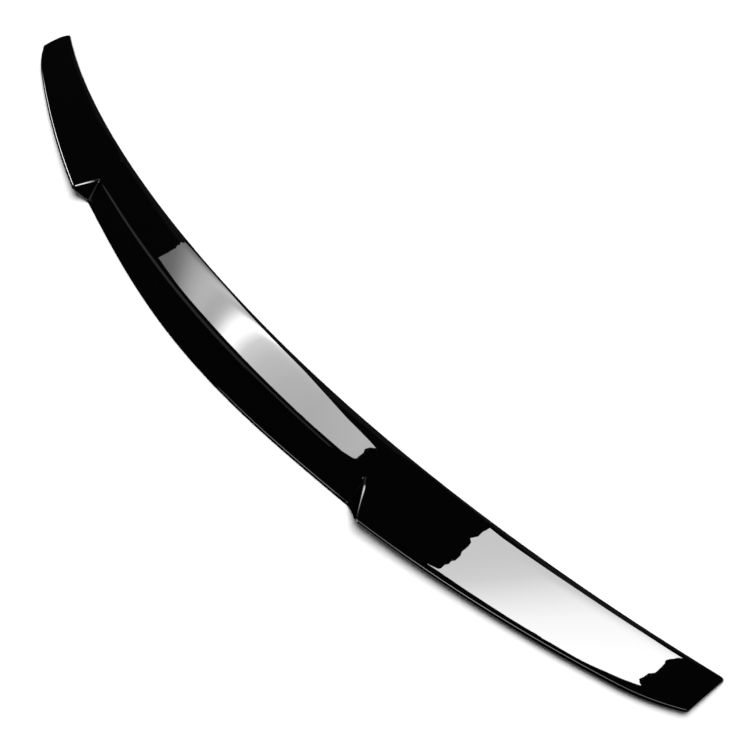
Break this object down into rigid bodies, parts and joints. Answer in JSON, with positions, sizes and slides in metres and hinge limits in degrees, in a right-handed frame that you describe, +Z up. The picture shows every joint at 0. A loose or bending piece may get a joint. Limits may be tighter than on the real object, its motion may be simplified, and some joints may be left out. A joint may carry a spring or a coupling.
{
  "type": "car rear spoiler",
  "caption": "Slim bowed boot-lid spoiler in gloss black plastic, with raised stepped end sections, a ribbed underside and foam tape.",
  "frame": {"origin": "middle of the footprint, on the floor that the spoiler lies on", "axes": "+X to the car's right along the spoiler's length, +Y to the car's front, +Z up"},
  "size_m": [1.18, 0.1584, 0.0293],
  "materials": {
    "gloss_black_plastic": "high gloss",
    "foam_tape": "matte"
  },
  "bodies": {
    "root": {"spoiler_shell": "gloss_black_plastic", "tape_front_left": "foam_tape", "tape_front_centre": "foam_tape", "tape_front_right": "foam_tape", "tape_rear_left": "foam_tape", "tape_rear_centre": "foam_tape", "tape_rear_right": "foam_tape"}
  },
  "joints": []
}
